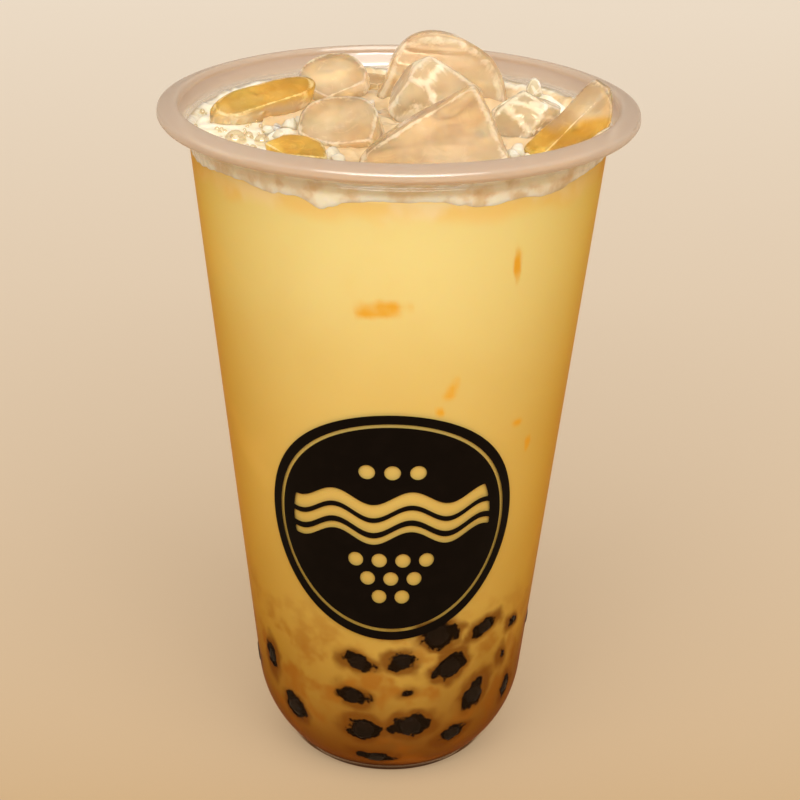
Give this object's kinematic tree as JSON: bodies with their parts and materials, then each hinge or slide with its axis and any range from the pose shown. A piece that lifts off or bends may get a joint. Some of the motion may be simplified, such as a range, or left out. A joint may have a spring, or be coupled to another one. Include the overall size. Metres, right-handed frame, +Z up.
{
  "type": "bubble tea",
  "caption": "Iced milk tea with tapioca pearls in a tall tapered clear plastic cup with a round foot and a wide lip, ice standing above the rim.",
  "frame": {"origin": "centre of the cup's foot, on the surface it stands on", "axes": "+Z up along the cup's axis, -Y towards the cup's front"},
  "size_m": [0.095, 0.095, 0.149],
  "materials": {
    "cup": "clear, slightly milky polypropylene",
    "milk_tea": "opaque liquid",
    "milk_foam": "foam",
    "ice": "wet ice",
    "pearl": "glossy, soft"
  },
  "bodies": {
    "root": {"cup": "cup", "milk_tea": "milk_tea", "milk_foam": "milk_foam", "ice_01": "ice", "ice_02": "ice", "ice_03": "ice", "ice_04": "ice", "ice_05": "ice", "ice_06": "ice", "ice_07": "ice", "ice_08": "ice", "ice_09": "ice", "ice_10": "ice", "ice_11": "ice", "ice_12": "ice", "ice_13": "ice", "pearl_01": "pearl", "pearl_02": "pearl", "pearl_03": "pearl", "pearl_04": "pearl", "pearl_05": "pearl", "pearl_06": "pearl", "pearl_07": "pearl", "pearl_08": "pearl", "pearl_09": "pearl", "pearl_10": "pearl", "pearl_11": "pearl", "pearl_12": "pearl", "pearl_13": "pearl", "pearl_14": "pearl", "pearl_15": "pearl", "pearl_16": "pearl", "pearl_17": "pearl", "pearl_18": "pearl", "pearl_19": "pearl", "pearl_20": "pearl", "pearl_21": "pearl", "pearl_22": "pearl", "pearl_23": "pearl", "pearl_24": "pearl", "pearl_25": "pearl", "pearl_26": "pearl", "pearl_27": "pearl"}
  },
  "joints": []
}
